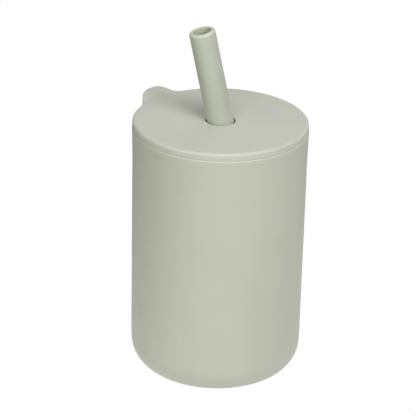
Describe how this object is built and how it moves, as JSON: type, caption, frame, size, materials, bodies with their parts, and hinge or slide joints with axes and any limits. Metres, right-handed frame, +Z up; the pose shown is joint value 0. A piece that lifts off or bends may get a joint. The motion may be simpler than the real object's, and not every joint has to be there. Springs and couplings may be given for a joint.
{
  "type": "silicone straw cup",
  "caption": "Soft child's cup with a rounded foot, a press-in lid with a lift tab, and a loose drinking straw through the lid.",
  "frame": {"origin": "centre of the flat base, on the surface that the cup stands on", "axes": "+Z up along the cup's axis; the lid's lift tab points towards -X and +Y, and the straw leans towards -X"},
  "size_m": [0.07, 0.07, 0.1436],
  "materials": {
    "cup_silicone": "matte",
    "lid_silicone": "matte",
    "straw_silicone": "matte"
  },
  "bodies": {
    "cup": {"cup": "cup_silicone"},
    "lid": {"lid": "lid_silicone"},
    "straw": {"straw": "straw_silicone"}
  },
  "joints": [
    {"name": "lid_lift", "type": "slide", "parent": "cup", "child": "lid", "axis": [0, 0, 1], "range_m": [0, 0.115]},
    {"name": "straw_slide", "type": "slide", "parent": "lid", "child": "straw", "axis": [-0.213, 0.0426, 0.9761], "range_m": [0, 0.115]}
  ]
}
